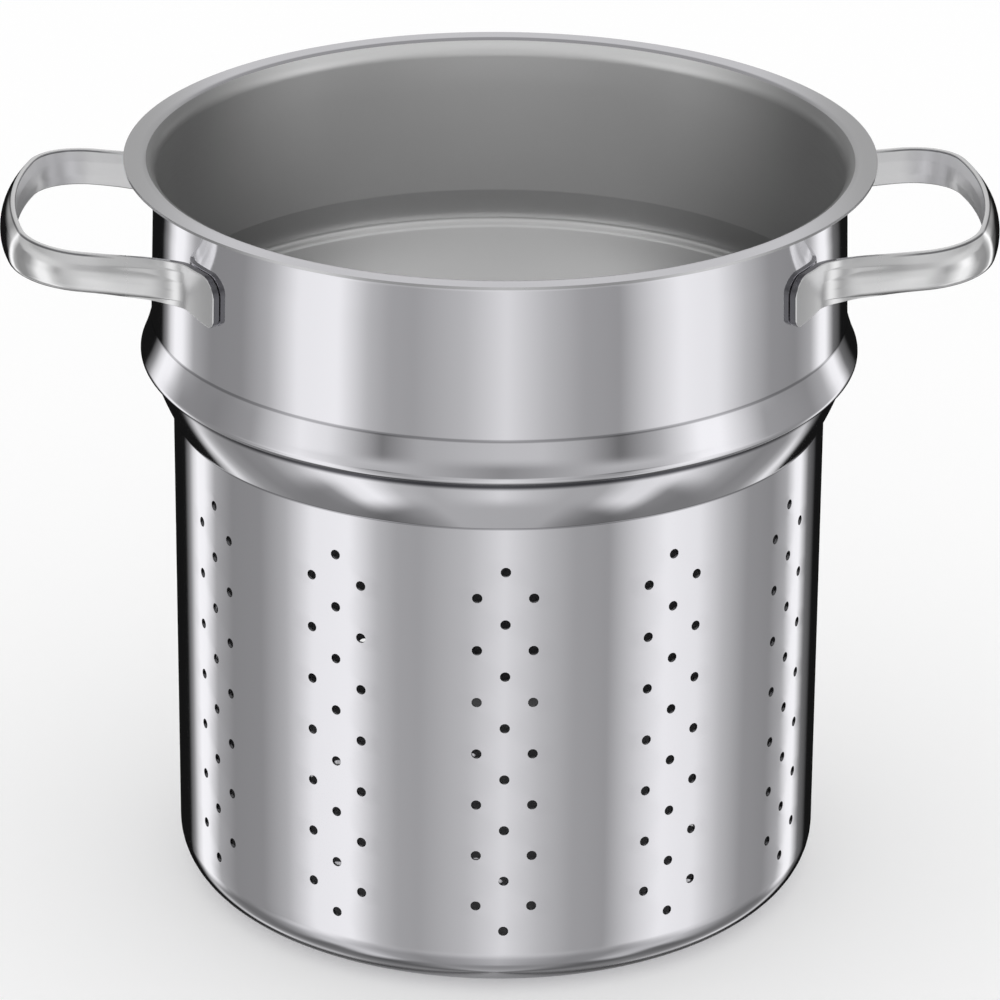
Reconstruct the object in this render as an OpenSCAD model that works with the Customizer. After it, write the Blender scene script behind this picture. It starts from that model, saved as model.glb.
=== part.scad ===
// Perforated strainer insert with a wide collar, a stepped shoulder and two side loop handles.
// Millimetres. Origin at the middle of the base, +Z up, handles on the X axis, front towards -Y.

/* [Overall] */
// height from the underside of the base to the top of the lip
total_height = 270; // [200:1:340]
// thickness of the drawn sheet
sheet = 1.0; // [0.5:0.1:1.5]

/* [Lip and collar] */
// inside radius of the collar at its mouth, where the lid goes
mouth_radius = 120; // [90:0.5:150]
// outer radius of the lip
lip_radius = 131; // [100:0.5:165]
// radius of the roll from the lip into the collar, on its upper side
lip_roll = 6; // [3:0.5:10]
// depth below the lip where the collar stops being straight
mouth_land = 14; // [8:0.5:25]
// depth of the crease where the collar ends
collar_depth = 58.2; // [40:0.1:80]
// how much wider the collar is at its crease than at its mouth
collar_draft = 1.3; // [0:0.1:4]
// radius of the crease under the collar
crease_roll = 1.2; // [0.5:0.1:4]

/* [Shoulder and neck] */
// radius where the flare and the shelf under it would meet
shoulder_radius = 127.3; // [110:0.1:140]
// depth of the shelf that sits on the pot rim
shoulder_depth = 73.5; // [60:0.1:95]
// radius of the fold at the widest place of the shoulder
fold_roll = 2.7; // [1.5:0.1:5]
// outer radius at the top of the neck
neck_radius = 123.1; // [110:0.1:130]
// radius of the corner between shelf and neck
neck_roll = 0.6; // [0.3:0.1:3]
// how far the neck bulges outwards at its middle
neck_bow = 0.6; // [0:0.1:1.5]
// depth of the crease where the neck meets the basket
neck_depth = 93.1; // [80:0.1:120]
// radius of that crease
basket_crease = 1.2; // [0.5:0.1:4]

/* [Basket] */
// outer radius of the basket
basket_radius = 115; // [90:0.5:140]
// outer radius of the corner at the base
base_roll = 16.4; // [6:0.2:30]

/* [Wall holes] */
// diameter of a drain hole
hole_diameter = 3.6; // [2:0.1:6]
// groups of holes round the basket
hole_groups = 12; // [6:1:18]
// holes in the middle column of a group
middle_count = 8; // [3:1:12]
// holes in each side column of a group
side_count = 7; // [2:1:11]
// depth of the highest hole below the lip
first_hole_depth = 109; // [100:0.5:140]
// height of the lowest hole above the base
last_hole_height = 25.1; // [20:0.1:60]
// angle from the middle column to a side column
side_angle = 4.8; // [2:0.1:10]

/* [Base holes] */
// rings of drain holes in the base
base_rings = 6; // [2:1:9]
// radial pitch of the rings
ring_pitch = 15; // [8:0.5:30]
// holes added with each ring
ring_step = 6; // [4:1:10]

/* [Handles] */
// half of the width between the two arms
arm_offset = 50.5; // [35:0.5:70]
// reach of the grip's inner face from the axis
grip_reach = 168.2; // [145:0.2:195]
// radius of the bowed grip on its inner face
grip_bow = 140; // [80:1:300]
// radius of the corners between grip and arms
grip_corner = 21; // [10:0.5:30]
// radius of the bend from the arm to the foot
foot_bend = 20; // [12:0.5:30]
// angle from the handle's axis to the end of the foot
foot_angle = 37.6; // [33:0.2:45]
// depth of the grip's middle line below the lip
grip_depth = 21.8; // [15:0.1:40]
// fall of the arms towards the body, for each mm
arm_fall = 0.1; // [0:0.005:0.2]
// depth of the foot's middle line below the lip
foot_depth = 27; // [20:0.1:45]
// half height of the grip
grip_half = 6.8; // [4:0.1:10]
// thickness of the grip
grip_thick = 6.1; // [3:0.1:9]
// height of the foot above its middle line
foot_half = 8; // [5:0.1:12]
// height of the foot below its middle line, at its end
foot_low_half = 10.3; // [6:0.1:14]
// how much of that height is lost where the foot leaves the wall
foot_taper = 2.3; // [0:0.1:4]
// thickness of the foot over the wall
foot_thick = 2.4; // [1.5:0.1:6]
// radius of the foot's upper end corner
foot_top_corner = 7.4; // [5.5:0.1:7.8]
// radius of the foot's lower end corner
foot_low_corner = 4; // [1:0.1:5.5]
// clearance between foot and wall, filled at the welds
weld_gap = 0.3; // [0.1:0.05:1]
// diameter of a weld spot
weld_diameter = 6; // [3:0.5:10]
// angle of the first weld spot from the handle's axis
weld_inner_angle = 31.4; // [30:0.1:45]
// angle of the second weld spot from the handle's axis
weld_outer_angle = 34.9; // [30:0.1:45]

/* [Hidden] */
$fn = 96;
round_steps = 180;
arc_steps = 8;
basket_top = total_height - neck_depth;
shelf_z = total_height - shoulder_depth;
crease_z = total_height - collar_depth;
land_z = total_height - mouth_land;
collar_radius = mouth_radius + sheet;
crease_radius = collar_radius + collar_draft;
lip_under = total_height - sheet;
lip_centre = mouth_radius + lip_roll;
hole_pitch = (total_height - first_hole_depth - last_hole_height) / (middle_count - 1);
hole_reach = 3 * sheet;
weld_reach = 4 * sheet;
plug_radius = mouth_radius - hole_diameter * 5;
steel = [0.78, 0.78, 0.79];
satin = [0.70, 0.70, 0.71];

function unit(v) = v / norm(v);
function turned(v, a) = [v.x * cos(a) - v.y * sin(a), v.x * sin(a) + v.y * cos(a)];
// points of the arc of radius r that rounds the corner b between a and c
function corner(a, b, c, r, n) =
    let (u = unit(a - b), v = unit(c - b), half = acos(u * v) / 2,
         centre = b + unit(u + v) * r / sin(half), from = unit(b + u * r / tan(half) - centre),
         way = (u.x * v.y - u.y * v.x) > 0 ? -1 : 1)
    [for (i = [0 : n]) centre + r * turned(from, way * (180 - 2 * half) * i / n)];
// the left-hand side of a path, moved by d
function side_normal(p, i) =
    let (last = len(p) - 1, a = p[max(i - 1, 0)], b = p[i], c = p[min(i + 1, last)],
         u = i > 0 ? unit(b - a) : unit(c - b), v = i < last ? unit(c - b) : u,
         m = unit(turned(u, 90) + turned(v, 90)))
    m / (m * turned(u, 90));
function moved(p, d) = [for (i = [0 : len(p) - 1]) p[i] + d * side_normal(p, i)];

// outer side of the sheet, from the middle of the base to the edge of the lip
base_start = [0, 0];
base_corner = [basket_radius, 0];
basket_end = [basket_radius, basket_top];
neck_end = [neck_radius, shelf_z];
neck_mid = (basket_end + neck_end) / 2 - neck_bow * turned(unit(neck_end - basket_end), 90);
shoulder_end = [shoulder_radius, shelf_z];
crease_end = [crease_radius, crease_z];
land_end = [collar_radius, land_z];
outer_path = concat(
    [base_start],
    corner(base_start, base_corner, basket_end, base_roll, arc_steps + 4),
    corner(base_corner, basket_end, neck_mid, basket_crease, 3),
    [neck_mid],
    corner(neck_mid, neck_end, shoulder_end, neck_roll, 3),
    corner(neck_end, shoulder_end, crease_end, fold_roll, arc_steps),
    corner(shoulder_end, crease_end, land_end, crease_roll, 3),
    [land_end],
    [for (i = [0 : arc_steps]) [lip_centre, total_height - lip_roll]
        + (lip_roll - sheet) * [-cos(90 * i / arc_steps), sin(90 * i / arc_steps)]],
    [[lip_radius, lip_under]]);
inner_path = moved(outer_path, sheet);
first_inner = [0, sheet];
sheet_profile = concat(outer_path, [for (i = [len(inner_path) - 1 : -1 : 1]) inner_path[i]], [first_inner]);

// collar wall seen from outside, wider by a gap; the feet and the welds are cut by it
module collar_plug(gap) {
    rotate_extrude($fn = round_steps)
        polygon([[plug_radius, crease_z], [crease_radius + gap, crease_z], [collar_radius + gap, land_z],
            [collar_radius + gap, total_height - lip_roll], [plug_radius, total_height - lip_roll]]);
}

module wall_hole(angle, z) {
    rotate([0, 0, angle]) translate([basket_radius - sheet - hole_reach, 0, z]) rotate([0, 90, 0])
        cylinder(h = sheet + 2 * hole_reach, d = hole_diameter, $fn = 24);
}

module insert_body() {
    color(steel)
    difference() {
        rotate_extrude($fn = round_steps) polygon(sheet_profile);
        for (g = [0 : hole_groups - 1]) {
            for (i = [0 : middle_count - 1])
                wall_hole(g * 360 / hole_groups, total_height - first_hole_depth - i * hole_pitch);
            for (s = [-1, 1], i = [0 : side_count - 1])
                wall_hole(g * 360 / hole_groups + s * side_angle,
                    total_height - first_hole_depth - (i + 0.5) * hole_pitch);
        }
        translate([0, 0, -hole_reach]) cylinder(h = sheet + 2 * hole_reach, d = hole_diameter, $fn = 24);
        for (ring = [1 : base_rings], i = [0 : ring * ring_step - 1])
            rotate([0, 0, 360 * i / (ring * ring_step)]) translate([ring * ring_pitch, 0, -hole_reach])
                cylinder(h = sheet + 2 * hole_reach, d = hole_diameter, $fn = 24);
    }
}

// handle plan on its inner face, one half, from the foot's end to the middle of the grip
seat_radius = collar_radius + weld_gap * 2 / 3;
bend_y = arm_offset + foot_bend;
bend_x = sqrt(pow(seat_radius + foot_bend, 2) - pow(bend_y, 2));
tangent_angle = atan2(bend_y, bend_x);
bow_x = grip_reach - grip_bow;
corner_y = arm_offset - grip_corner;
corner_x = bow_x + sqrt(pow(grip_bow - grip_corner, 2) - pow(corner_y, 2));
bow_angle = atan2(corner_y, corner_x - bow_x);
end_distances = foot_top_corner * [0, 0.07, 0.22, 0.45, 0.7, 1];
wall_steps = 3;
bend_steps = 8;
arm_steps = 3;
corner_steps = 7;
bow_steps = 4;

function rounded_cut(r, s) = s >= r ? 0 : r - sqrt(r * r - pow(r - s, 2));
function fall(x) = grip_depth + arm_fall * (grip_reach - x);
// each station: place, outward direction, depth, share of grip section, cut at top, cut below
function foot_station(a, s) = [seat_radius * [cos(a), sin(a)], [cos(a), sin(a)], foot_depth, 0,
    rounded_cut(foot_top_corner, s),
    rounded_cut(foot_low_corner, s) + foot_taper * (foot_angle - a) / (foot_angle - tangent_angle)];
end_angle_step = foot_top_corner / seat_radius * 180 / PI;
half_plan = concat(
    [for (s = end_distances) foot_station(foot_angle - s / seat_radius * 180 / PI, s)],
    [for (i = [1 : wall_steps]) let (a0 = foot_angle - end_angle_step)
        foot_station(a0 + (tangent_angle - a0) * i / wall_steps, foot_top_corner)],
    [for (i = [1 : bend_steps]) let (q = i / bend_steps, a = 180 + tangent_angle + (90 - tangent_angle) * q,
            p = [bend_x, bend_y] + foot_bend * [cos(a), sin(a)], w = q * q * (3 - 2 * q))
        [p, -[cos(a), sin(a)], foot_depth + (fall(p.x) - foot_depth) * w, 0.8 * w, 0, foot_taper * (1 - w)]],
    [for (i = [1 : arm_steps]) let (q = i / arm_steps, x = bend_x + (corner_x - bend_x) * q)
        [[x, arm_offset], [0, 1], fall(x), min(1, 0.8 + 0.3 * q), 0, 0]],
    [for (i = [1 : corner_steps]) let (a = 90 + (bow_angle - 90) * i / corner_steps,
            p = [corner_x, corner_y] + grip_corner * [cos(a), sin(a)])
        [p, [cos(a), sin(a)], fall(p.x), 1, 0, 0]],
    [for (i = [1 : bow_steps]) let (a = bow_angle * (1 - i / bow_steps),
            p = [bow_x, 0] + grip_bow * [cos(a), sin(a)])
        [p, [cos(a), sin(a)], fall(p.x), 1, 0, 0]]);
function other_side(s) = [[s[0].x, -s[0].y], [s[1].x, -s[1].y], s[2], s[3], s[4], s[5]];
stations = concat(half_plan, [for (i = [len(half_plan) - 2 : -1 : 0]) other_side(half_plan[i])]);

// section corners as shares: thickness outward, half height
grip_section = [[0.11, 1], [0, 0.35], [0, -0.4], [0.13, -0.96], [0.24, -1], [0.5, -1], [0.78, -0.91],
    [0.95, -0.72], [1, -0.42], [0.96, 0.02], [0.85, 0.33], [0.6, 0.74], [0.34, 1]];
foot_section = [[0, 1], [-0.05, 0.5], [-0.05, -0.5], [0, -1], [0.3, -1], [0.78, -1], [0.93, -0.95],
    [1, -0.83], [1, -0.4], [1, 0.1], [1, 0.83], [0.93, 0.95], [0.78, 1]];
foot_total = foot_thick + sheet / 2;
function station_point(s, k) =
    let (g = grip_section[k], f = foot_section[k], w = s[3],
         out = (1 - w) * f.x * foot_total + w * g.x * grip_thick,
         up = (1 - w) * f.y * (f.y > 0 ? foot_half : foot_low_half) + w * g.y * grip_half,
         lift = up > 0 ? up * (1 - s[4] / foot_half) : up * (1 - s[5] / foot_low_half))
    [s[0].x + s[1].x * out, s[0].y + s[1].y * out, total_height - s[2] + lift];

module handle() {
    n = len(grip_section);
    last = len(stations) - 1;
    points = [for (s = stations, k = [0 : n - 1]) station_point(s, k)];
    faces = concat(
        [[for (k = [n - 1 : -1 : 0]) k]],
        [[for (k = [0 : n - 1]) last * n + k]],
        [for (i = [0 : last - 1], k = [0 : n - 1]) let (j = (k + 1) % n)
            [i * n + k, i * n + j, (i + 1) * n + k]],
        [for (i = [0 : last - 1], k = [0 : n - 1]) let (j = (k + 1) % n)
            [i * n + j, (i + 1) * n + j, (i + 1) * n + k]]);
    difference() {
        polyhedron(points = points, faces = faces);
        collar_plug(weld_gap);
    }
}

// weld spots between the feet and the wall
module weld_spots() {
    for (s = [-1, 1], a = [weld_inner_angle, weld_outer_angle])
        difference() {
            intersection() {
                rotate([0, 0, s * a]) translate([collar_radius - weld_reach, 0, total_height - foot_depth])
                    rotate([0, 90, 0]) cylinder(h = 2 * weld_reach, d = weld_diameter, $fn = 32);
                collar_plug(weld_gap);
            }
            collar_plug(0);
        }
}

module right_handle() { color(satin) handle(); }
module left_handle() { color(satin) rotate([0, 0, 180]) handle(); }
module right_handle_welds() { color(satin) weld_spots(); }
module left_handle_welds() { color(satin) rotate([0, 0, 180]) weld_spots(); }

insert_body();
left_handle();
right_handle();
left_handle_welds();
right_handle_welds();
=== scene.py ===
import bpy
import bmesh
import math
from mathutils import Matrix, Vector


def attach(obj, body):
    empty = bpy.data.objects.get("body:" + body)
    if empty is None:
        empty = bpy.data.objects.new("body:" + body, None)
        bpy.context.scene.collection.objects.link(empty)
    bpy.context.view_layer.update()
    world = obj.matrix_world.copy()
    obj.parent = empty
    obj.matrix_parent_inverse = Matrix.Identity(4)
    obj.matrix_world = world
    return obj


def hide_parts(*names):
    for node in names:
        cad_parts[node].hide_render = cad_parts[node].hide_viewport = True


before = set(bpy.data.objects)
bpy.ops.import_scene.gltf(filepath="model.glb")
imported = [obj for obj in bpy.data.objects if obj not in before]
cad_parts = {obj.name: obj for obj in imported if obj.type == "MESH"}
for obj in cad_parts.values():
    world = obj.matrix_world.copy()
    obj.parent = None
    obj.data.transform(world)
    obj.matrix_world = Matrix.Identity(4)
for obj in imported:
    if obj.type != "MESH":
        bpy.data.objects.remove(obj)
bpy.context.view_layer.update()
mm = 0.001
print("frame loaded:", sorted(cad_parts))


# small helpers for working in object and edit mode

def deselectAll():
    if bpy.context.object and bpy.context.object.mode != "OBJECT":
        bpy.ops.object.mode_set(mode="OBJECT")
    bpy.ops.object.select_all(action="DESELECT")


def makeActive(obj):
    deselectAll()
    bpy.context.view_layer.objects.active = obj
    obj.select_set(True)


def openMesh(obj):
    makeActive(obj)
    bpy.ops.object.mode_set(mode="EDIT")
    bpy.ops.mesh.select_mode(type="EDGE")
    return bmesh.from_edit_mesh(obj.data)


def closeMesh():
    bpy.ops.object.mode_set(mode="OBJECT")


def addModifier(obj, kind, **settings):
    makeActive(obj)
    bpy.ops.object.modifier_add(type=kind)
    modifier = obj.modifiers[-1]
    for name, value in settings.items():
        setattr(modifier, name, value)
    bpy.ops.object.modifier_apply(modifier=modifier.name)


def unit(v):
    return v / v.length


def roundCorner(a, b, c, radius, steps):
    # points of the arc that rounds corner b of the path a, b, c
    a, b, c = Vector(a), Vector(b), Vector(c)
    u, v = unit(a - b), unit(c - b)
    half = math.acos(max(-1.0, min(1.0, u.dot(v)))) / 2
    nearlyStraight, shortRun = math.radians(89.5), 0.02
    if half > nearlyStraight:  # nothing to round, so the points lie on a short straight run
        return [b + (c - a) * shortRun * (i / steps - 0.5) for i in range(steps + 1)]
    centre = b + unit(u + v) * radius / math.sin(half)
    start = b + u * radius / math.tan(half) - centre
    way = -1 if u.x * v.y - u.y * v.x > 0 else 1
    turn = way * (math.pi - 2 * half)
    return [centre + Matrix.Rotation(turn * i / steps, 2) @ start for i in range(steps + 1)]


# camera, as the photograph was taken

cameraSet = {
    "lens": 203.14,  # mm, for the sensor width below
    "sensor": 36,
    "elevation": 23.246,  # degrees above the horizon
    "distance": 2014.7,  # mm from the aim point
    "aimX": 0.674,
    "aimZ": 138.21,
    "around": -1.42,  # degrees round the basket
    "roll": 0.414,
}


def makeCamera():
    c = cameraSet
    e, roll = math.radians(c["elevation"]), math.radians(c["roll"])
    back = Vector((0, -math.cos(e), math.sin(e)))
    side, up = Vector((1, 0, 0)), Vector((0, math.sin(e), math.cos(e)))
    right = side * math.cos(roll) + up * math.sin(roll)
    top = up * math.cos(roll) - side * math.sin(roll)
    place = Vector((c["aimX"], 0, c["aimZ"])) + back * c["distance"]
    world = Matrix((right, top, back)).transposed().to_4x4()
    world.translation = place * mm
    turn = Matrix.Rotation(math.radians(c["around"]), 4, "Z")
    bpy.ops.object.camera_add()
    camera = bpy.context.object
    camera.name = "photoCamera"
    camera.matrix_world = turn @ world
    camera.data.lens, camera.data.sensor_width = c["lens"], c["sensor"]
    camera.data.clip_start, camera.data.clip_end = 0.05, 50
    bpy.context.scene.camera = camera


deselectAll()
makeCamera()
print("camera placed")


# shader maths: a socket with operators, and one way to add a node

class Wire:
    def __init__(self, tree, socket):
        self.tree, self.socket = tree, socket

    def maths(self, operation, *others):
        node = self.tree.nodes.new("ShaderNodeMath")
        node.operation = operation
        for slot, value in enumerate((self,) + others):
            if isinstance(value, Wire):
                self.tree.links.new(value.socket, node.inputs[slot])
            else:
                node.inputs[slot].default_value = value
        return Wire(self.tree, node.outputs[0])

    def asWire(self, value):
        if isinstance(value, Wire):
            return value
        node = self.tree.nodes.new("ShaderNodeValue")
        node.outputs[0].default_value = value
        return Wire(self.tree, node.outputs[0])

    def __add__(self, other):
        return self.maths("ADD", other)

    def __radd__(self, other):
        return self.maths("ADD", other)

    def __sub__(self, other):
        return self.maths("SUBTRACT", other)

    def __rsub__(self, other):
        return self.asWire(other).maths("SUBTRACT", self)

    def __mul__(self, other):
        return self.maths("MULTIPLY", other)

    def __rmul__(self, other):
        return self.maths("MULTIPLY", other)

    def __truediv__(self, other):
        return self.maths("DIVIDE", other)

    def __neg__(self):
        return self.maths("MULTIPLY", -1.0)

    def other(self, name):  # another output of the same node
        return Wire(self.tree, self.socket.node.outputs[name])


class NodeSheet:
    def __init__(self, tree):
        self.tree = tree
        tree.nodes.clear()

    # inputs go by their names, or by s and a number where a node has several of one name
    def add(self, kind, settings=None, out=0, **inputs):
        node = self.tree.nodes.new(kind)
        for name, value in (settings or {}).items():
            if name == "stops":
                ramp = node.color_ramp
                while len(ramp.elements) < len(value):
                    ramp.elements.new(1.0)
                for element, (position, colour) in zip(ramp.elements, value):
                    element.position, element.color = position, (*colour, 1)
            else:
                setattr(node, name, value)
        for name, value in inputs.items():
            numbered = name[0] == "s" and name[1:].isdigit()
            socket = node.inputs[int(name[1:]) if numbered else name.replace("_", " ")]
            if isinstance(value, Wire):
                self.tree.links.new(value.socket, socket)
            else:
                socket.default_value = value
        if len(node.outputs):
            return Wire(self.tree, node.outputs[out])

    # from low to high while the value goes through the span
    def fade(self, value, span, low=0.0, high=1.0, soft=True):
        kind = "SMOOTHSTEP" if soft else "LINEAR"
        return self.add("ShaderNodeMapRange", {"interpolation_type": kind}, Value=value,
            From_Min=span[0], From_Max=span[1], To_Min=low, To_Max=high)

    def mix(self, share, first, second):
        return self.add("ShaderNodeMix", {"data_type": "RGBA"}, out=2, s0=share, s6=first, s7=second)

    def objectPlace(self):
        return self.add("ShaderNodeTexCoord", out=3)

    # fine grain, drawn out by a scale for each axis
    def grain(self, place, scales, detail):
        stretched = self.add("ShaderNodeMapping", Vector=place, Scale=scales)
        return self.add("ShaderNodeTexNoise", Vector=stretched, Scale=1.0, Detail=detail)

    def finish(self, **inputs):
        shader = self.add("ShaderNodeBsdfPrincipled", **inputs)
        self.add("ShaderNodeOutputMaterial", Surface=shader)


def newMaterial(name):
    material = bpy.data.materials.new(name)
    material.use_nodes = True
    return material, NodeSheet(material.node_tree)


# steel: polished outside, satin inside; the cut faces of the sheet and the edges of the feet are painted dark as
# shade, and the lip's outer edge is a darker grey

# spans are in mm: heights over the base, or distances left and right of the middle
steelSet = {
    "polishColour": (0.803, 0.797, 0.832, 1),
    "polishRough": 0.07,
    "polishGrain": 0.03,
    "polishGrainScale": (60, 60, 900),
    "baseRough": 0.36,  # more at the foot of the base roll
    "baseSpan": (9.0, 2.0),
    # painted shade: a fine dark line at each crease, and the shade on the base roll: height, half width, strength
    "shadeLines": [(196.2, 2.6, 0.97), (211.8, 0.8, 0.5), (176.9, 0.6, 0.5), (11.9, 4.5, 0.42)],
    "shadeLineColour": (0.06, 0.06, 0.07, 1),
    "shadeLineCore": 0.3,  # share of a line's half width that has its full strength
    # painted shade: the top of the lip gets darker towards the left and right sides
    "lipSideShadeColour": (0.48, 0.48, 0.485, 1),
    "lipSideSpan": (90.0, 128.0),
    "lipTopSpan": (268.6, 269.2),
    # painted shade on the inside: darker towards the left and right sides, a little darker near the top, much darker
    # deep down
    "insideColour": (0.98, 0.98, 0.98, 1),
    "insideTopShadeColour": (0.87, 0.87, 0.87, 1),
    "insideSideShadeColour": (0.22, 0.22, 0.22, 1),
    "insideDeepShadeColour": (0.17, 0.17, 0.175, 1),
    "insideSideSpan": (40.0, 119.0),
    "insideTopSideSpan": (64.0, 116.0),
    "insideDeepSpan": (164.0, 118.0),
    "insideTopSpan": (205.0, 255.0),
    "insideRough": 0.38,
    "insideGrain": 0.12,
    "insideGrainScale": (40, 40, 1500),
    "insideMetal": 0.6,
    # painted shade: the cut faces of the holes and the edges of the feet are dark
    "cutShadeColour": (0.2, 0.2, 0.21, 1),
    "cutRough": 0.25,
    "cutGrain": 0.1,
    "cutGrainScale": 700.0,
    "lipEdgeColour": (0.62, 0.62, 0.63, 1),
}


def polishedSteel():
    s = steelSet
    material, n = newMaterial("polishedSteel")
    place = n.objectPlace()
    axes = n.add("ShaderNodeSeparateXYZ", Vector=place)
    height = axes.other("Z") / mm
    lines = n.grain(place, s["polishGrainScale"], 2.0)
    dark = None
    # painted shade: dark lines at the creases and a soft shade on the base roll, mixed into the base colour
    for middle, half, strength in s["shadeLines"]:
        near = n.fade((height - middle).maths("ABSOLUTE"), (half, half * s["shadeLineCore"]), 0.0, strength)
        dark = dark.maths("MAXIMUM", near) if dark else near
    # painted shade: the lip's top darkens towards the left and right
    side = n.fade(axes.maths("ABSOLUTE") / mm, s["lipSideSpan"])
    top = n.fade(height, s["lipTopSpan"], soft=False)
    low = n.fade(height, s["baseSpan"], 0.0, s["baseRough"])
    metal = n.mix(side * top, s["polishColour"], s["lipSideShadeColour"])
    n.finish(Base_Color=n.mix(dark, metal, s["shadeLineColour"]), Metallic=1.0,
        Roughness=(lines - 0.5) * s["polishGrain"] + s["polishRough"] + low)
    return material


def insideSteel():
    s = steelSet
    material, n = newMaterial("satinInside")
    place = n.objectPlace()
    axes = n.add("ShaderNodeSeparateXYZ", Vector=place)
    across, height = axes.maths("ABSOLUTE") / mm, axes.other("Z") / mm
    lines = n.grain(place, s["insideGrainScale"], 3.0)
    # painted shade: the colour darkens towards the sides, near the top and deep down
    side, topSide = n.fade(across, s["insideSideSpan"]), n.fade(across, s["insideTopSideSpan"])
    deep = n.fade(height, s["insideDeepSpan"])
    rise = n.fade(height, s["insideTopSpan"], soft=False)
    middle = n.mix(rise, s["insideColour"], s["insideTopShadeColour"])
    upper = n.mix(side + (topSide - side) * rise, middle, s["insideSideShadeColour"])
    n.finish(Base_Color=n.mix(deep, upper, s["insideDeepShadeColour"]), Metallic=s["insideMetal"],
        Roughness=(lines - 0.5) * s["insideGrain"] + s["insideRough"])
    return material


def cutSteel(name, colour):
    s = steelSet
    material, n = newMaterial(name)
    marks = n.add("ShaderNodeTexNoise", Vector=n.objectPlace(), Scale=s["cutGrainScale"], Detail=2.0)
    n.finish(Base_Color=colour, Metallic=1.0, Roughness=(marks - 0.5) * s["cutGrain"] + s["cutRough"])
    return material


polished, satinInside = polishedSteel(), insideSteel()
# the cut faces are painted dark as shade
shadedCutEdge = cutSteel("shadedCutEdge", steelSet["cutShadeColour"])
lipEdge = cutSteel("lipEdge", steelSet["lipEdgeColour"])
print("steels made")


# the drawn insert: rings are pulled up from the base to the lip, holes are opened,
# then the sheet gets its thickness

bodySet = {
    "height": 270.0, "sheet": 1.0,
    "mouthRadius": 120.0, "lipRadius": 131.0, "lipRoll": 6.0, "lipLand": 1.5, "mouthLand": 14.0,
    "collarDepth": 58.2, "collarDraft": 1.3, "creaseRoll": 1.2,
    "shoulderRadius": 127.3, "shoulderDepth": 73.5, "foldRoll": 2.7,
    "neckRadius": 123.1, "neckRoll": 0.6, "neckDepth": 93.1, "basketCrease": 1.2,
    "basketRadius": 115.0, "wallTop": 5.0, "baseRoll": 16.4, "baseLand": 1.6,
    # the neck bulges and the flare is hollow: how far, and its points as shares of the way
    "neckBow": 0.6, "neckSpots": (0.14, 0.3, 0.45, 0.6, 0.75, 0.9),
    "flareBow": 0.45, "flareSpots": (0.35, 0.5, 0.65, 0.8, 0.9), "flareStart": 0.2, "flareWay": (-0.95, -0.31),
    "collarSpots": (0.3, 0.6, 0.9),  # points of the collar's wall
    "baseSteps": 12, "creaseSteps": 4, "foldSteps": 10, "lipSteps": 10,
    "edgeBreak": 0.14, "edgeAngle": 55,
    # wall holes: a group is three columns of cells, each cell three narrow columns and rows of faces wide
    "holeRadius": 1.8, "holeSides": 12, "groups": 12, "rows": 15, "firstHoleDepth": 109.0, "rowPitch": 9.707,
    "columns": 3, "columnAngle": 4.8, "cellParts": 3, "plainColumns": 9,
    "outerRing": 2.9, "insets": (0.8, 0.4),  # in a cell: the ring round the hole, and the steps to it and to the hole
    # base holes: rings round the middle hole
    "baseRings": 6, "ringPitch": 15.0, "ringStep": 6, "cutterDepth": 6.0,
}


def highestCell():
    # upper edge of the first row of hole cells
    return bodySet["height"] - bodySet["firstHoleDepth"] + bodySet["rowPitch"] / 2


def bodyProfile():
    # outer side of the sheet as radius and height, from the base to the edge of the lip
    b = bodySet
    h, s, wall = b["height"], b["sheet"], b["basketRadius"]
    collar, shelf = b["mouthRadius"] + s, h - b["shoulderDepth"]
    base, corner, basketEnd = (0, 0), (wall, 0), (wall, h - b["neckDepth"])
    neckEnd, shoulder = (b["neckRadius"], shelf), (b["shoulderRadius"], shelf)
    creaseEnd, landEnd = (collar + b["collarDraft"], h - b["collarDepth"]), (collar, h - b["mouthLand"])

    def along(first, last, t):
        return Vector(first).lerp(Vector(last), t)

    path = [Vector((wall - b["baseRoll"] - b["baseLand"], 0))]
    path += roundCorner(base, corner, basketEnd, b["baseRoll"], b["baseSteps"])
    cells, cell = b["rows"] * b["cellParts"], b["rowPitch"] / b["cellParts"]
    path += [Vector((wall, highestCell() - cell * i)) for i in range(cells, -1, -1)]
    path += [Vector((wall, highestCell() + b["wallTop"]))]
    way = unit(Vector(neckEnd) - Vector(basketEnd))
    outwards, inwards = Vector((way.y, -way.x)), Vector(b["flareWay"])
    bowed = [along(basketEnd, neckEnd, t) + 4 * b["neckBow"] * t * (1 - t) * outwards for t in b["neckSpots"]]
    path += roundCorner(corner, basketEnd, bowed[0], b["basketCrease"], b["creaseSteps"]) + bowed
    path += roundCorner(bowed[-1], neckEnd, shoulder, b["neckRoll"], b["creaseSteps"])
    path += roundCorner(neckEnd, shoulder, creaseEnd, b["foldRoll"], b["foldSteps"])
    hollow = [along(shoulder, creaseEnd, t) + 4 * b["flareBow"] * (t - b["flareStart"]) * (1 - t) * inwards
        for t in b["flareSpots"]]
    path += hollow + roundCorner(hollow[-1], creaseEnd, landEnd, b["creaseRoll"], b["creaseSteps"])
    path += [along(creaseEnd, landEnd, t) for t in b["collarSpots"]] + [Vector(landEnd)]
    centre = Vector((b["mouthRadius"] + b["lipRoll"], h - b["lipRoll"]))
    for i in range(b["lipSteps"] + 1):
        a = math.radians(90 / b["lipSteps"] * i)
        path.append(centre + (b["lipRoll"] - s) * Vector((-math.cos(a), math.sin(a))))
    path += [Vector((b["lipRadius"] - b["lipLand"], h - s)), Vector((b["lipRadius"], h - s))]
    return path


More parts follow.
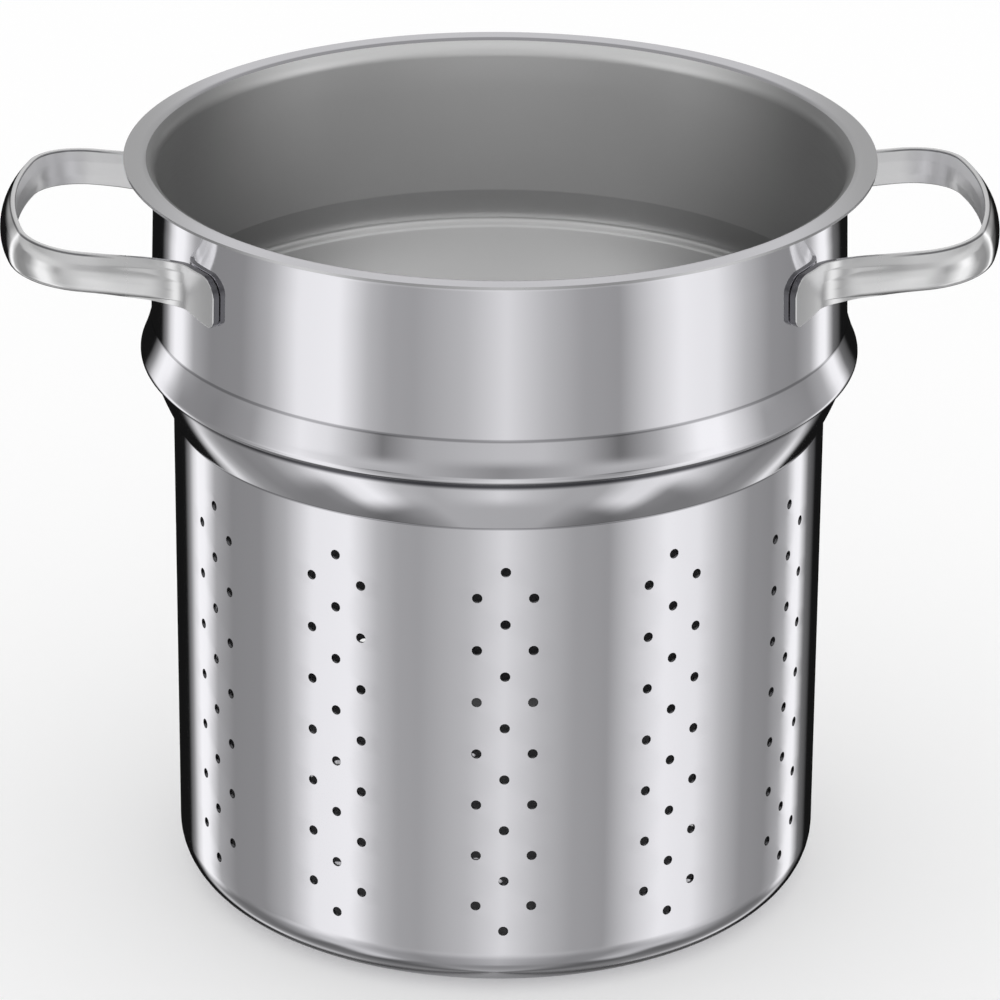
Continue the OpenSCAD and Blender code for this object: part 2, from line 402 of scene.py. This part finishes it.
def ringAngles():
    # narrow columns across the holes of a group, wider ones between the groups
    b = bodySet
    share, step, narrow = 360 / b["groups"], b["columnAngle"] / b["cellParts"], b["columns"] * b["cellParts"]
    half = narrow / 2 * step
    plain = (share - narrow * step) / b["plainColumns"]
    group = [step * i - half for i in range(narrow)] + [half + plain * i for i in range(b["plainColumns"])]
    return [share * g + a for g in range(b["groups"]) for a in group]


def holeCentre(x, y, z):
    # the hole whose cell holds this point of the wall: its angle, height and column, 0 in the middle, or nothing
    b = bodySet
    share, top = 360 / b["groups"], highestCell()
    angle = math.degrees(math.atan2(y, x))
    group = math.floor((angle + share / 2) / share)
    column = math.floor((angle - group * share) / b["columnAngle"] + b["columns"] / 2) - b["columns"] // 2
    row = math.floor((top - z) / b["rowPitch"])
    if abs(column) > b["columns"] // 2 or not 0 <= row < b["rows"] or (row + column) % 2:
        return None
    return math.radians(group * share + column * b["columnAngle"]), top - (row + 0.5) * b["rowPitch"], column


def makeBody():
    b = bodySet
    path, angles = bodyProfile(), ringAngles()
    count = len(angles)
    front = b["columns"] * b["cellParts"] // 2 + 1  # the list starts this far before angle 0
    deselectAll()
    bpy.ops.mesh.primitive_circle_add(vertices=count, radius=path[0].x * mm, fill_type="NGON")
    body = bpy.context.object
    body.name = body.data.name = "drawnInsert"
    bm = openMesh(body)
    for v in bm.verts:  # the ring's corners move to the hole columns
        number = round(math.degrees(math.atan2(v.co.y, v.co.x)) * count / 360) + front
        a = math.radians(angles[number % count])
        v.co = Vector((math.cos(a), math.sin(a), 0)) * path[0].x * mm
    bmesh.update_edit_mesh(body.data)
    bpy.ops.mesh.select_all(action="SELECT")
    bpy.ops.mesh.region_to_loop()
    for last, point in zip(path, path[1:]):
        bpy.ops.mesh.extrude_edges_move(TRANSFORM_OT_translate={"value": (0, 0, (point.y - last.y) * mm)})
        scale = point.x / last.x
        bpy.ops.transform.resize(value=(scale, scale, 1), center_override=(0, 0, 0))
    openHoles(body)
    bpy.ops.mesh.select_all(action="SELECT")
    bpy.ops.mesh.remove_doubles(threshold=0.001 * mm)
    bpy.ops.mesh.normals_make_consistent(inside=False)
    bm = bmesh.from_edit_mesh(body.data)
    middle = b["height"] * mm / 2
    wall = min(bm.faces, key=lambda f: abs(f.calc_center_median().z - middle))
    if wall.normal.xy.dot(wall.calc_center_median().xy) < 0:  # faces point outwards
        bpy.ops.mesh.flip_normals()
    closeMesh()
    for steel in (polished, satinInside, shadedCutEdge, lipEdge):
        body.data.materials.append(steel)
    # the sheet's cut faces take the third steel, painted dark as shade
    addModifier(body, "SOLIDIFY", thickness=b["sheet"] * mm, offset=-1, use_even_offset=True,
        material_offset=1, material_offset_rim=2)
    polishLip(body)
    cutter = baseCutter()
    addModifier(body, "BOOLEAN", object=cutter, operation="DIFFERENCE", solver="EXACT")
    bpy.data.objects.remove(cutter)
    addModifier(body, "BEVEL", width=b["edgeBreak"] * mm, segments=1, limit_method="ANGLE",
        angle_limit=math.radians(b["edgeAngle"]))
    makeActive(body)
    bpy.ops.object.shade_smooth()
    addModifier(body, "WEIGHTED_NORMAL", keep_sharp=False, weight=50)
    return body


def paintFaces(obj, bm, steel, wanted):
    # the faces for which wanted is true get this steel
    bpy.ops.mesh.select_mode(type="FACE")
    for f in bm.faces:
        f.select_set(wanted(f, f.calc_center_median()))
    obj.active_material_index = obj.data.materials.find(steel.name)
    bpy.ops.object.material_slot_assign()


def polishLip(body):
    # the top of the lip is polished as the outside is, its outer edge is cut
    b = bodySet
    topFrom, edgeFrom = (b["height"] - 0.75 * b["sheet"]) * mm, (b["lipRadius"] - 0.3) * mm
    bm = openMesh(body)
    bpy.ops.mesh.select_all(action="DESELECT")
    paintFaces(body, bm, polished, lambda f, c: c.z > topFrom and f.normal.z > 0.5)
    paintFaces(body, bm, lipEdge, lambda f, c: c.xy.length > edgeFrom and abs(f.normal.z) < 0.5)
    closeMesh()


def openHoles(body):
    b = bodySet
    for inMiddle in (True, False):  # two passes, because the cells of the two kinds touch at their corners
        bm = bmesh.from_edit_mesh(body.data)
        bpy.ops.mesh.select_mode(type="FACE")
        bpy.ops.mesh.select_all(action="DESELECT")
        for f in bm.faces:
            c = f.calc_center_median()
            onWall = c.xy.length > b["basketRadius"] * mm * 0.99
            hole = holeCentre(c.x, c.y, c.z / mm) if onWall else None
            f.select_set(bool(hole) and (hole[2] == 0) == inMiddle)
        for inset, size in zip(b["insets"], (b["outerRing"], b["holeRadius"])):
            bpy.ops.mesh.inset(thickness=inset * mm, use_boundary=True, use_even_offset=True)
            bm = bmesh.from_edit_mesh(body.data)
            inner = {v for f in bm.faces if f.select for v in f.verts}
            placeRing([v for v in inner if any(not f.select for f in v.link_faces)], size * mm)
            bmesh.update_edit_mesh(body.data)
        bpy.ops.mesh.delete(type="FACE")


def placeRing(verts, size):
    # the square ring of a cell becomes round: each corner goes to its own share of the circle
    wall, share = bodySet["basketRadius"] * mm, 360 / bodySet["holeSides"]
    for v in verts:
        angle, height, _ = holeCentre(v.co.x, v.co.y, v.co.z / mm)
        along = math.atan2(v.co.y, v.co.x) - angle
        along = (along + math.pi) % (2 * math.pi) - math.pi
        turn = math.degrees(math.atan2(v.co.z - height * mm, along * wall))
        turn = math.radians(share / 2 + share * round((turn - share / 2) / share))
        a = angle + size * math.cos(turn) / wall
        v.co = Vector((wall * math.cos(a), wall * math.sin(a), height * mm + size * math.sin(turn)))


def baseCutter():
    b = bodySet
    size = {"vertices": b["holeSides"], "radius": b["holeRadius"] * mm, "depth": b["cutterDepth"] * mm}
    deselectAll()
    bpy.ops.mesh.primitive_cylinder_add(**size)
    cutter = bpy.context.object
    bpy.ops.object.mode_set(mode="EDIT")
    for ring in range(1, b["baseRings"] + 1):
        holes, far = ring * b["ringStep"], ring * b["ringPitch"]
        for i in range(holes):
            a = math.radians(360 * i / holes)
            place = (far * math.cos(a) * mm, far * math.sin(a) * mm, 0)
            bpy.ops.mesh.primitive_cylinder_add(**size, location=place)
    closeMesh()
    return cutter


body = makeBody()
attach(body, "root")
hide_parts("insert_body")
print("drawn insert made:", len(body.data.polygons), "faces")


# handles: one section is pulled along the loop, flat at the feet and crowned at the grip

handleSet = {
    "armOffset": 50.5, "reach": 168.2, "bow": 140.0, "corner": 21.0, "footBend": 20.0, "footAngle": 37.6,
    "gripDepth": 21.8, "armFall": 0.1, "footDepth": 27.0, "gripHalf": 6.8,
    "footHalf": 8.0, "footLowHalf": 10.3, "footTaper": 2.3, "footThick": 2.4, "footGap": 0.3,
    "topCorner": 7.4, "lowCorner": 4.0, "endRound": 0.5,
    "seatDraft": 0.3,  # share of the collar's draft at the height of the feet
    "bendShare": 0.8, "armShare": 0.3,  # share of the grip section after the bend, and what the arm adds
    # corners of the two sections: outwards, up and rounding
    "gripCorners": [
        (0.65, 6.8, 0.3), (0.0, 2.4, 6.0), (0.0, -2.7, 6.0), (0.8, -6.6, 1.0), (3.6, -6.9, 2.6), (5.9, -5.6, 3.2),
        (6.14, -1.7, 12.0), (5.35, 1.9, 13.0), (3.9, 4.75, 11.0), (2.1, 6.85, 0.3)],
    "footCorners": [
        (0.0, 8.0, 0.3), (0.0, 4.0, 1.0), (0.0, -4.0, 1.0), (0.0, -10.3, 0.3), (2.4, -10.3, 0.5), (2.4, -7.0, 1.0),
        (2.4, -3.0, 1.0), (2.4, 1.0, 1.0), (2.4, 5.0, 1.0), (2.4, 8.0, 0.5)],
    # rings along half a handle: places on the rounded end of the foot, then how many on each stretch
    "footSpots": (0, 0.08, 0.25, 0.5, 0.9, 1.5, 2.3, 3.3, 4.5, 6.0, 7.4),
    "footSteps": 5, "bendSteps": 16, "armSteps": 5, "cornerSteps": 14, "bowSteps": 8, "sectionSteps": 4,
    "smoothAngle": 50,
    # finish, first on the arms and then at the bow where there are two numbers
    "colour": (0.88, 0.88, 0.885, 1),
    "rough": (0.17, 0.07), "metal": (0.75, 1.0),
    "innerRough": (0.34, 0.34), "innerMetal": (0.6, 0.6), "footRough": 0.28,
    "grain": 0.02, "grainScale": 900.0,
    # from where to where it changes, left and right of the middle
    "roughSpan": (150.0, 166.0), "metalSpan": (150.0, 163.0), "footSpan": (126.0, 142.0), "loopSpan": (132.0, 142.0),
    # painted shade: the dark line below the upper edge of the grip
    "lineDrop": 0.5, "lineSpan": (0.45, 0.1), "shadeLineStrength": 0.8,
    # for the choice of faces: where the loop begins, what its inner side looks at, and how far the feet reach
    "loopFrom": 122.0, "loopMiddle": 113.2, "footWithin": 117.0, "footRadius": 126.0,
    "edgeOutwards": 0.45,  # a face of a foot that looks outwards or inwards less than this is its edge
}


def sectionPoints(corners):
    points = []
    for i, (x, y, radius) in enumerate(corners):
        before, after = corners[i - 1], corners[(i + 1) % len(corners)]
        points += roundCorner(before[:2], (x, y), after[:2], radius, handleSet["sectionSteps"])
    return points


def polar(angle, radius=1.0):
    return Vector((math.cos(math.radians(angle)), math.sin(math.radians(angle)))) * radius


def roundedCut(radius, s):
    # how much a rounded corner takes off at s from the end
    return 0.0 if s >= radius else radius - math.sqrt(radius ** 2 - (radius - s) ** 2)


def handleStations():
    # each ring: place, outward way, depth, share of the grip section, cut at the top, cut below, thinning
    h, b = handleSet, bodySet
    seat = b["mouthRadius"] + b["sheet"] + b["collarDraft"] * h["seatDraft"] + h["footGap"]
    bendY = h["armOffset"] + h["footBend"]
    bendX = math.sqrt((seat + h["footBend"]) ** 2 - bendY ** 2)
    tangent = math.degrees(math.atan2(bendY, bendX))
    bowX = h["reach"] - h["bow"]
    cornerY = h["armOffset"] - h["corner"]
    cornerX = bowX + math.sqrt((h["bow"] - h["corner"]) ** 2 - cornerY ** 2)
    bowAngle = math.degrees(math.atan2(cornerY, cornerX - bowX))
    half = []

    def station(place, way, depth, grip, topCut=0.0, lowCut=0.0, thin=0.0):
        half.append((place, way, depth, grip, topCut, lowCut, thin))

    def depthAt(x):
        return h["gripDepth"] + h["armFall"] * (h["reach"] - x)

    def taper(a):
        return h["footTaper"] * (h["footAngle"] - a) / (h["footAngle"] - tangent)

    def shares(count):
        return [i / count for i in range(1, count + 1)]

    for s in h["footSpots"]:
        a = h["footAngle"] - math.degrees(s / seat)
        station(polar(a, seat), polar(a), h["footDepth"], 0.0, roundedCut(h["topCorner"], s),
            roundedCut(h["lowCorner"], s) + taper(a), roundedCut(h["endRound"], s))
    first = h["footAngle"] - math.degrees(h["footSpots"][-1] / seat)
    for q in shares(h["footSteps"]):
        a = first + (tangent - first) * q
        station(polar(a, seat), polar(a), h["footDepth"], 0.0, lowCut=taper(a))
    for q in shares(h["bendSteps"]):
        a = 180 + tangent + (90 - tangent) * q
        p = Vector((bendX, bendY)) + polar(a, h["footBend"])
        w = q * q * (3 - 2 * q)
        depth = h["footDepth"] + (depthAt(p.x) - h["footDepth"]) * w
        station(p, -polar(a), depth, h["bendShare"] * w, lowCut=h["footTaper"] * (1 - w))
    for q in shares(h["armSteps"]):
        x = bendX + (cornerX - bendX) * q
        station(Vector((x, h["armOffset"])), polar(90), depthAt(x), min(1.0, h["bendShare"] + h["armShare"] * q))
    for q in shares(h["cornerSteps"]):
        a = 90 + (bowAngle - 90) * q
        p = Vector((cornerX, cornerY)) + polar(a, h["corner"])
        station(p, polar(a), depthAt(p.x), 1.0)
    for q in shares(h["bowSteps"]):
        a = bowAngle * (1 - q)
        p = Vector((bowX, 0)) + polar(a, h["bow"])
        station(p, polar(a), depthAt(p.x), 1.0)
    flip = [(Vector((p.x, -p.y)), Vector((n.x, -n.y)), *rest) for p, n, *rest in half[-2::-1]]
    return half + flip


def stationRing(station, gripShape, footShape, side):
    place, way, depth, grip, topCut, lowCut, thin = station
    h, b = handleSet, bodySet
    slope = b["collarDraft"] / (b["collarDepth"] - b["mouthLand"]) * max(0.0, 1 - grip / h["bendShare"])
    points = []
    for g, f in zip(gripShape, footShape):
        out = (1 - grip) * f.x * (1 - thin / h["footThick"]) + grip * g.x
        up = (1 - grip) * f.y + grip * g.y
        up *= 1 - (topCut / h["footHalf"] if up > 0 else lowCut / h["footLowHalf"])
        p = place + way * (out - slope * up)  # the foot leans with the collar
        points.append(Vector((side * p.x, p.y, b["height"] - depth + up)) * mm)
    return points


def makeHandle(name, side):
    h = handleSet
    gripShape, footShape = sectionPoints(h["gripCorners"]), sectionPoints(h["footCorners"])
    deselectAll()
    bpy.ops.mesh.primitive_circle_add(vertices=len(gripShape), radius=h["gripHalf"] * mm, fill_type="NOTHING")
    handle = bpy.context.object
    handle.name = handle.data.name = name
    openMesh(handle)
    bpy.ops.mesh.select_all(action="SELECT")
    for i, station in enumerate(handleStations()):
        if i:
            bpy.ops.mesh.extrude_edges_move(TRANSFORM_OT_translate={"value": (0, 0, 0)})
        bm = bmesh.from_edit_mesh(handle.data)
        ring = sorted((v for v in bm.verts if v.select), key=lambda v: v.index)
        for v, p in zip(ring, stationRing(station, gripShape, footShape, side)):
            v.co = p
        bmesh.update_edit_mesh(handle.data)
    bpy.ops.mesh.select_all(action="DESELECT")
    bpy.ops.mesh.select_non_manifold()
    bpy.ops.mesh.fill_holes(sides=0)
    bpy.ops.mesh.select_all(action="SELECT")
    bpy.ops.mesh.normals_make_consistent(inside=False)
    for steel in (satinHandle, brushedHandle, shadedCutEdge):
        handle.data.materials.append(steel)
    middle = Vector((side * h["loopMiddle"] * mm, 0))

    def innerSide(f, c):
        return abs(f.normal.z) < 0.5 and f.normal.xy.dot(middle - c.xy) > 0 and abs(c.x) > h["loopFrom"] * mm

    def edgeOfFoot(f, c):
        onFoot = abs(c.x) < h["footWithin"] * mm and c.xy.length < h["footRadius"] * mm
        return onFoot and abs(f.normal.xy.dot(c.xy.normalized())) < h["edgeOutwards"]

    bm = bmesh.from_edit_mesh(handle.data)
    paintFaces(handle, bm, brushedHandle, innerSide)
    # the edges of the feet get the dark cut steel, painted shade
    paintFaces(handle, bm, shadedCutEdge, edgeOfFoot)
    closeMesh()
    return handle


def handleSteel(name, rough, metal):
    h = handleSet
    material, n = newMaterial(name)
    place = n.objectPlace()
    grain = n.add("ShaderNodeTexNoise", Vector=place, Scale=h["grainScale"], Detail=2.0)
    axes = n.add("ShaderNodeSeparateXYZ", Vector=place)
    far = axes.maths("ABSOLUTE") / mm

    def change(span, first, last):  # a plain number where nothing changes
        return first if first == last else n.fade(far, h[span], first, last)

    shine = change("roughSpan", *rough) + change("footSpan", h["footRough"] - rough[0], 0.0)
    bare = change("metalSpan", *metal) + change("loopSpan", metal[1] - metal[0], 0.0)
    up = axes.other("Z") / mm - (far - h["reach"]) * h["armFall"] - (bodySet["height"] - h["gripDepth"])
    # painted shade: a dark line below the upper edge of the grip, on the loop
    fromLine = (up - (h["gripHalf"] - h["lineDrop"])).maths("ABSOLUTE")
    line = n.fade(fromLine, h["lineSpan"], 0.0, h["shadeLineStrength"]) * n.fade(far, h["loopSpan"], soft=False)
    n.finish(Base_Color=n.mix(line, h["colour"], steelSet["shadeLineColour"]), Metallic=bare,
        Roughness=(grain - 0.5) * h["grain"] + shine)
    return material


satinHandle = handleSteel("satinHandle", handleSet["rough"], handleSet["metal"])
brushedHandle = handleSteel("brushedHandle", handleSet["innerRough"], handleSet["innerMetal"])

for name, side, node in (("rightHandle", 1, "right_handle"), ("leftHandle", -1, "left_handle")):
    handle = makeHandle(name, side)
    bpy.ops.object.shade_smooth_by_angle(angle=math.radians(handleSet["smoothAngle"]))
    addModifier(handle, "WEIGHTED_NORMAL", keep_sharp=True, weight=50)
    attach(handle, "root")
    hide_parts(node)
print("handles made")

for name in ("left_handle_welds", "right_handle_welds"):
    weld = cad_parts[name]
    weld.data.materials.clear()
    weld.data.materials.append(satinHandle)
print("weld spots finished")


# floor and studio: white for the camera, soft light and dark bands for the metal

studioSet = {
    "floorSize": 6.0,
    "floorColour": (0.86, 0.86, 0.86, 1),
    "floorLift": 0.14,
    "ambient": 1.0,
}
# light seen by the metal: from and to which height in degrees, then the levels round the horizon,
# each at an angle: 0 in front, left negative
studioLayers = [
    (-90, -69, [
        (-180, 0.42), (-160, 0.03), (-135, 0.28), (-120, 0.22), (-100, 0.18), (-82, 0.14), (-66, 0.22), (-50, 0.33),
        (-36, 0.47), (0, 0.47), (35, 0.44), (50, 0.29), (62, 0.2), (78, 0.15), (94, 0.18), (106, 0.22), (120, 0.24),
        (135, 0.24), (160, 0.04), (180, 0.42)]),
    (-61, -57, [
        (-180, 0.42), (-164, 0.01), (-152, 0.01), (-147, 0.4), (-141, 0.6), (-131, 0.4), (-119, 0.24), (-107, 0.23),
        (-96, 0.24), (-86, 0.3), (-74, 0.95), (-64, 1.07), (-49, 0.57), (-33, 0.46), (-16, 0.6), (0, 0.8),
        (15, 0.6), (32, 0.45), (48, 0.45), (62, 0.84), (72, 0.86), (84, 0.26), (98, 0.22), (112, 0.22), (124, 0.25),
        (134, 0.4), (141, 0.6), (146, 0.4), (150, 0.01), (164, 0.01), (180, 0.42)]),
    (-50, -38, [
        (-180, 0.42), (-164, 0.01), (-152, 0.01), (-147, 0.5), (-142, 0.9), (-136, 0.5), (-130, 0.33), (-119, 0.26),
        (-107, 0.3), (-93, 0.55), (-80, 0.97), (-66, 1.07), (-49, 0.6), (-33, 0.47), (-16, 0.62), (0, 0.84),
        (15, 0.65), (32, 0.45), (48, 0.45), (63, 0.83), (78, 0.97), (92, 0.66), (106, 0.35), (118, 0.26), (130, 0.3),
        (136, 0.5), (141, 0.95), (146, 0.6), (150, 0.01), (164, 0.01), (180, 0.42)]),
    (-30, -9, [
        (-149, 0.008), (-143, 0.3), (-139, 0.8), (-135, 1.1), (-129, 1.08), (-121, 0.44), (-110, 0.28), (-94, 0.3),
        (-82, 0.5), (-70, 0.98), (-55, 1.03), (-44, 0.55), (-37, 0.42), (-29, 0.4), (-12, 0.57), (1, 0.83),
        (14, 0.57), (26, 0.4), (38, 0.36), (50, 0.75), (60, 1.01), (74, 0.94), (86, 0.56), (98, 0.33), (112, 0.29),
        (122, 0.45), (129, 1.05), (134, 1.1), (138, 0.6), (142, 0.17), (148, 0.09), (152, 0.008)]),
    (2, 12, [
        (-180, 0.6), (-160, 0.5), (-146, 0.3), (-134, 1.1), (-118, 0.3), (-100, 0.26), (-84, 0.36), (-66, 1.0),
        (-56, 0.9), (-38, 0.21), (-26, 0.46), (0, 0.62), (12, 0.62), (25, 0.44), (37, 0.17), (50, 0.5), (64, 1.1),
        (72, 1.1), (90, 0.38), (112, 0.3), (122, 0.5), (134, 1.2), (146, 0.3), (160, 0.5), (180, 0.6)]),
    (19, 27, [(-180, 0.65), (-120, 0.5), (-60, 0.7), (0, 0.3), (60, 0.7), (120, 0.5), (180, 0.65)]),
    (40, 90, [(-180, 0.34), (-90, 0.4), (0, 0.5), (90, 0.4), (180, 0.34)]),
]


def makeFloor():
    deselectAll()
    bpy.ops.mesh.primitive_plane_add(size=studioSet["floorSize"])
    floor = bpy.context.object
    floor.name = "floor"
    material, n = newMaterial("floorPaper")
    seenByCamera = n.add("ShaderNodeLightPath")
    n.finish(Base_Color=studioSet["floorColour"], Roughness=1.0,
        Emission_Color=(1, 1, 1, 1), Emission_Strength=seenByCamera * studioSet["floorLift"])
    floor.data.materials.append(material)
    floor.visible_glossy = False  # the steel mirrors the studio alone


def makeWorld():
    world = bpy.data.worlds.new("studio")
    world.use_nodes = True
    bpy.context.scene.world = world
    n = NodeSheet(world.node_tree)
    x = n.add("ShaderNodeSeparateXYZ", Vector=n.add("ShaderNodeTexCoord"))
    y, z = x.other("Y"), x.other("Z")
    around = x.maths("ARCTAN2", -y) / (2 * math.pi) + 0.5
    height = z.maths("ARCSINE") * (180 / math.pi)
    mirrored, highest = None, 0.0
    for low, high, levels in studioLayers:
        stops = [(angle / 360 + 0.5, (level,) * 3) for angle, level in levels]
        layer = n.add("ShaderNodeValToRGB", {"stops": stops}, Fac=around)
        mirrored = n.mix(n.fade(height, (highest, low)), mirrored, layer) if mirrored else layer
        highest = high
    camera = n.add("ShaderNodeLightPath")
    soft = n.mix(camera.other("Is Glossy Ray"), (studioSet["ambient"],) * 3 + (1,), mirrored)
    back = n.add("ShaderNodeBackground", Color=n.mix(camera, soft, (1, 1, 1, 1)), Strength=1.0)
    n.add("ShaderNodeOutputWorld", Surface=back)


makeFloor()
makeWorld()
scene = bpy.context.scene
scene.view_settings.view_transform = "Standard"
scene.cycles.glossy_bounces = 8  # the steel mirrors itself
print("studio set")
